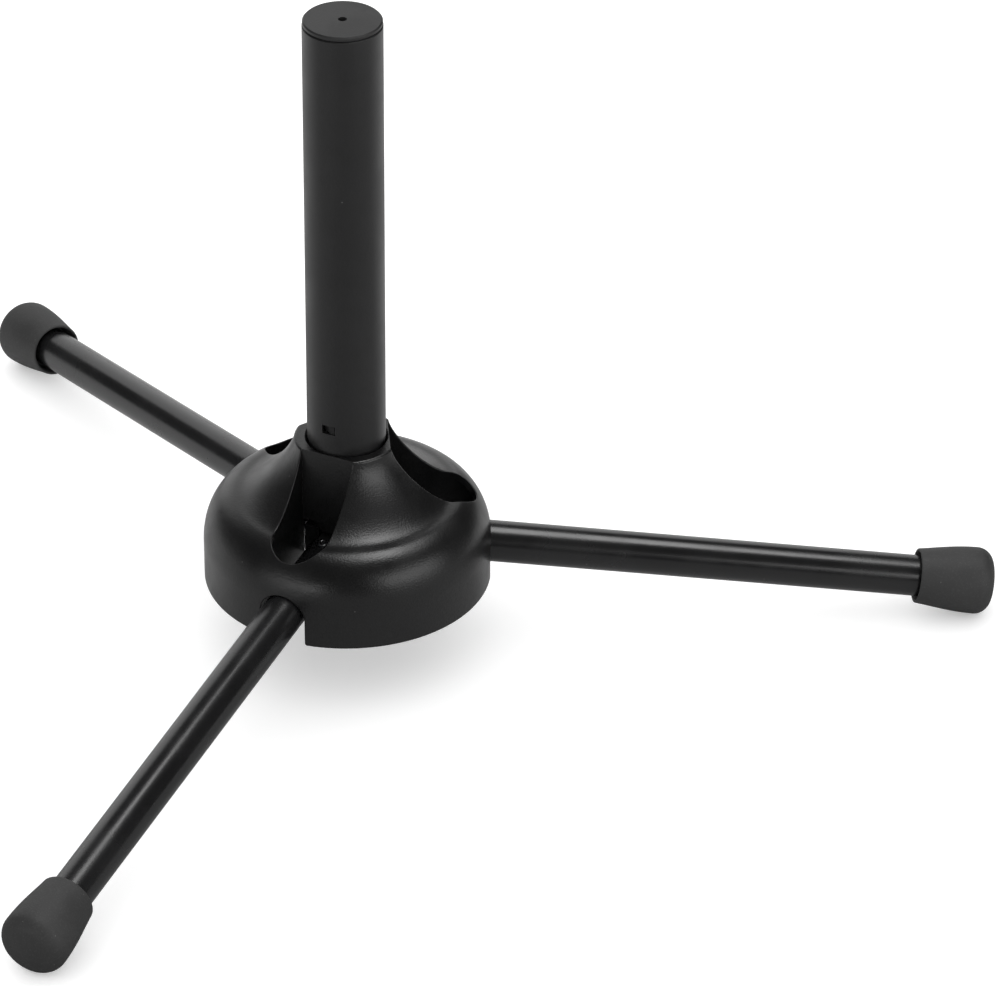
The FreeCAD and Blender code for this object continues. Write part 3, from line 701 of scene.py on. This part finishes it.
class STAND_OT_stage(bpy.types.Operator):
    """Set the floor, the lamps, the room and the camera"""

    bl_idname = "stand.stage"
    bl_label = "Stage"

    def execute(self, context):
        stage = context.scene.stand_stage
        self.lay_floor(context, stage)
        self.light_room(context, stage)
        for name, value, bearing, distance, size, lights_matt in LAMPS:
            lamp = self.hang_lamp(context, name, bearing, distance, size, getattr(stage, value))
            lamp.visible_diffuse = lights_matt
        self.set_camera(context)
        return {"FINISHED"}

    @staticmethod
    def lay_floor(context, stage):
        """Wide flat sheet of pale paper at floor height."""
        build = bmesh.new()
        bmesh.ops.create_grid(
            build, x_segments=PAPER_CELLS, y_segments=PAPER_CELLS, size=PAPER_HALF)
        mesh = bpy.data.meshes.new("paper")
        build.to_mesh(mesh)
        build.free()
        paper = bpy.data.objects.new("paper", mesh)
        context.scene.collection.objects.link(paper)
        material = bpy.data.materials.new("pale paper")
        material.use_nodes = True
        tree = material.node_tree
        shader = tree.nodes["Principled BSDF"]
        shader.inputs["Roughness"].default_value = 0.9
        shader.inputs["Specular IOR Level"].default_value = 0.1
        shader.inputs["Emission Color"].default_value = (1.0, 1.0, 1.0, 1.0)
        seen = tree.nodes.new("ShaderNodeLightPath")
        lifted = math_node(tree, "MULTIPLY", seen.outputs["Is Camera Ray"], stage.lift)
        join(tree, lifted, shader.inputs["Emission Strength"])
        # Painted shade: reflections see the paper darken towards the front; the camera doesn't.
        place = put(tree, "ShaderNodeNewGeometry")
        parts = put(tree, "ShaderNodeSeparateXYZ")
        join(tree, place.outputs["Position"], parts.inputs[0])
        behind = remap(
            tree, parts.outputs["Y"], PAPER_FADE_FROM, PAPER_FADE_TO, 0.0, PAPER_FADE_TOP)
        lit = math_node(tree, "MAXIMUM", behind, seen.outputs["Is Camera Ray"])
        tone = put(tree, "ShaderNodeMix", data_type="RGBA")
        floor = context.scene.stand_colours.floor
        # Darkest colour of the painted shade on the paper
        painted_shade_darkest = [PAPER_PAINTED_SHADE_DARKEST * channel for channel in floor]
        tone.inputs[MIX_FIRST].default_value = painted_shade_darkest + [1.0]
        tone.inputs[MIX_SECOND].default_value = list(floor) + [1.0]
        join(tree, lit, tone.inputs[MIX_SHARE])
        join(tree, tone.outputs[MIX_RESULT], shader.inputs["Base Color"])
        paint(paper, material)

    @staticmethod
    def light_room(context, stage):
        """Even light on matt surfaces, and a dim room in the reflections."""
        world = bpy.data.worlds.new("room")
        context.scene.world = world
        world.use_nodes = True
        tree = world.node_tree
        background = tree.nodes["Background"]
        background.inputs["Color"].default_value = (1.0, 1.0, 1.0, 1.0)
        seen = tree.nodes.new("ShaderNodeLightPath")
        strength = math_node(tree, "MULTIPLY_ADD", seen.outputs["Is Camera Ray"], 1.0, stage.room)
        strength = math_node(
            tree, "MULTIPLY_ADD", seen.outputs["Is Diffuse Ray"], stage.fill, strength)
        join(tree, strength, background.inputs["Strength"])

    @staticmethod
    def hang_lamp(context, name, bearing, distance, size, radiance):
        """Soft rectangular lamp at an azimuth and elevation, turned to the stand."""
        azimuth, elevation = (math.radians(angle) for angle in bearing)
        level = math.cos(elevation)
        towards = Vector((
            math.cos(azimuth) * level, math.sin(azimuth) * level, math.sin(elevation)))
        light = bpy.data.lights.new(name, "AREA")
        light.shape = "RECTANGLE"
        light.size, light.size_y = size
        light.energy = radiance * math.pi * size[0] * size[1]
        lamp = bpy.data.objects.new(name, light)
        context.scene.collection.objects.link(lamp)
        lamp.location = Vector(LAMP_TARGET) + towards * distance
        lamp.rotation_euler = towards.to_track_quat("Z", "Y").to_euler()
        lamp.visible_camera = False
        return lamp

    @staticmethod
    def set_camera(context):
        """Camera in front and above, on a long lens."""
        heading = math.radians(CAMERA_HEADING)
        pitch = math.radians(CAMERA_PITCH)
        roll = math.radians(CAMERA_ROLL)
        level = math.cos(pitch)
        forward = Vector((
            level * math.cos(heading), level * math.sin(heading), -math.sin(pitch)))
        right = forward.cross(Vector((0.0, 0.0, 1.0))).normalized()
        up = right.cross(forward)
        across = right * math.cos(roll) + up * math.sin(roll)
        upward = up * math.cos(roll) - right * math.sin(roll)
        data = bpy.data.cameras.new("camera")
        data.sensor_fit = "HORIZONTAL"
        data.sensor_width = CAMERA_SENSOR
        data.lens = CAMERA_LENS
        data.clip_end = CAMERA_CLIP_END
        camera = bpy.data.objects.new("camera", data)
        context.scene.collection.objects.link(camera)
        axes = Matrix((across, upward, -forward)).transposed().to_4x4()
        camera.matrix_world = Matrix.Translation(CAMERA_PLACE) @ axes
        context.scene.camera = camera
        context.scene.view_settings.view_transform = "Standard"


class STAND_PT_panel(bpy.types.Panel):
    """Lists the stand's pieces and values"""

    bl_idname = "STAND_PT_panel"
    bl_label = "Tabletop Stand"
    bl_space_type = "VIEW_3D"
    bl_region_type = "UI"
    bl_category = "Stand"

    def draw(self, context):
        layout = self.layout
        for operator in OPERATORS:
            layout.operator(operator.bl_idname)
        scene = context.scene
        for values in (scene.stand_sizes, scene.stand_colours, scene.stand_stage):
            box = layout.box()
            for key in values.__annotations__:
                box.prop(values, key)


OPERATORS = (
    STAND_OT_cover,
    STAND_OT_column,
    STAND_OT_hub,
    STAND_OT_leg_tubes,
    STAND_OT_feet,
    STAND_OT_rivets,
    STAND_OT_stage,
)
CLASSES = (StandSizes, StandColours, StandStage) + OPERATORS + (STAND_PT_panel,)


def register():
    """Register the classes and hang the values on the scene."""
    for item in CLASSES:
        bpy.utils.register_class(item)
    bpy.types.Scene.stand_sizes = bpy.props.PointerProperty(type=StandSizes)
    bpy.types.Scene.stand_colours = bpy.props.PointerProperty(type=StandColours)
    bpy.types.Scene.stand_stage = bpy.props.PointerProperty(type=StandStage)


def unregister():
    """Take the values off the scene and unregister the classes."""
    del bpy.types.Scene.stand_stage
    del bpy.types.Scene.stand_colours
    del bpy.types.Scene.stand_sizes
    for item in reversed(CLASSES):
        bpy.utils.unregister_class(item)


def main():
    """Build every piece and the stage."""
    register()
    bpy.ops.stand.cover()
    bpy.ops.stand.column()
    bpy.ops.stand.hub()
    bpy.ops.stand.leg_tubes()
    bpy.ops.stand.feet()
    bpy.ops.stand.rivets()
    bpy.ops.stand.stage()


if __name__ == "__main__":
    main()
